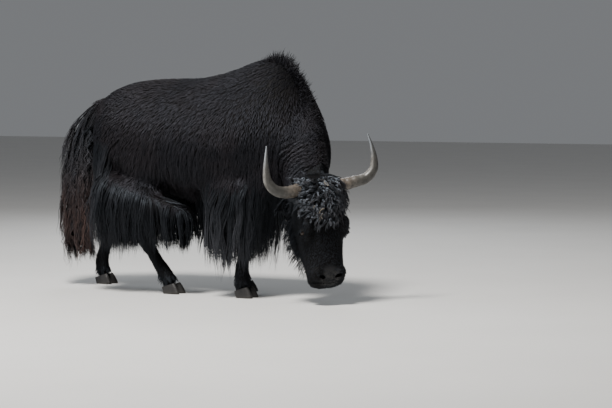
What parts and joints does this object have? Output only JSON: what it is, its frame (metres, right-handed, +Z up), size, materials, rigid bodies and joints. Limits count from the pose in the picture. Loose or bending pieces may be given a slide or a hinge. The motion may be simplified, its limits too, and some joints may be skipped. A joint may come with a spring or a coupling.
{
  "type": "domestic yak, still life-size model",
  "caption": "Still, life-size model of a black domestic yak bull that walks slowly with its head lowered to graze, with a long skirt of hair, a bushy tail and upswept pale horns.",
  "frame": {"origin": "middle of the model's box, on the floor under the soles", "axes": "+X the way the body faces, +Y to the animal's left, +Z up"},
  "size_m": [2.1636, 0.9382, 1.4172],
  "materials": {
    "coat": "dense black-brown hair, soft bluish sheen",
    "tail_hair": "long wavy brown-black hair",
    "horn": "pale grey-tan horn, worn, bluish white tips",
    "hoof": "dark worn hoof horn",
    "eye": "dark wet gloss"
  },
  "bodies": {
    "root": {"torso": "coat", "neck": "coat", "head": "coat", "tail": "tail_hair", "ear_right": "coat", "ear_left": "coat", "eye_right": "eye", "eye_left": "eye", "horn_right": "horn", "horn_left": "horn", "leg_fore_right": "coat", "hoof_fore_right_right": "hoof", "hoof_fore_right_left": "hoof", "leg_fore_left": "coat", "hoof_fore_left_right": "hoof", "hoof_fore_left_left": "hoof", "leg_hind_right": "coat", "hoof_hind_right_right": "hoof", "hoof_hind_right_left": "hoof", "leg_hind_left": "coat", "hoof_hind_left_right": "hoof", "hoof_hind_left_left": "hoof"}
  },
  "joints": []
}
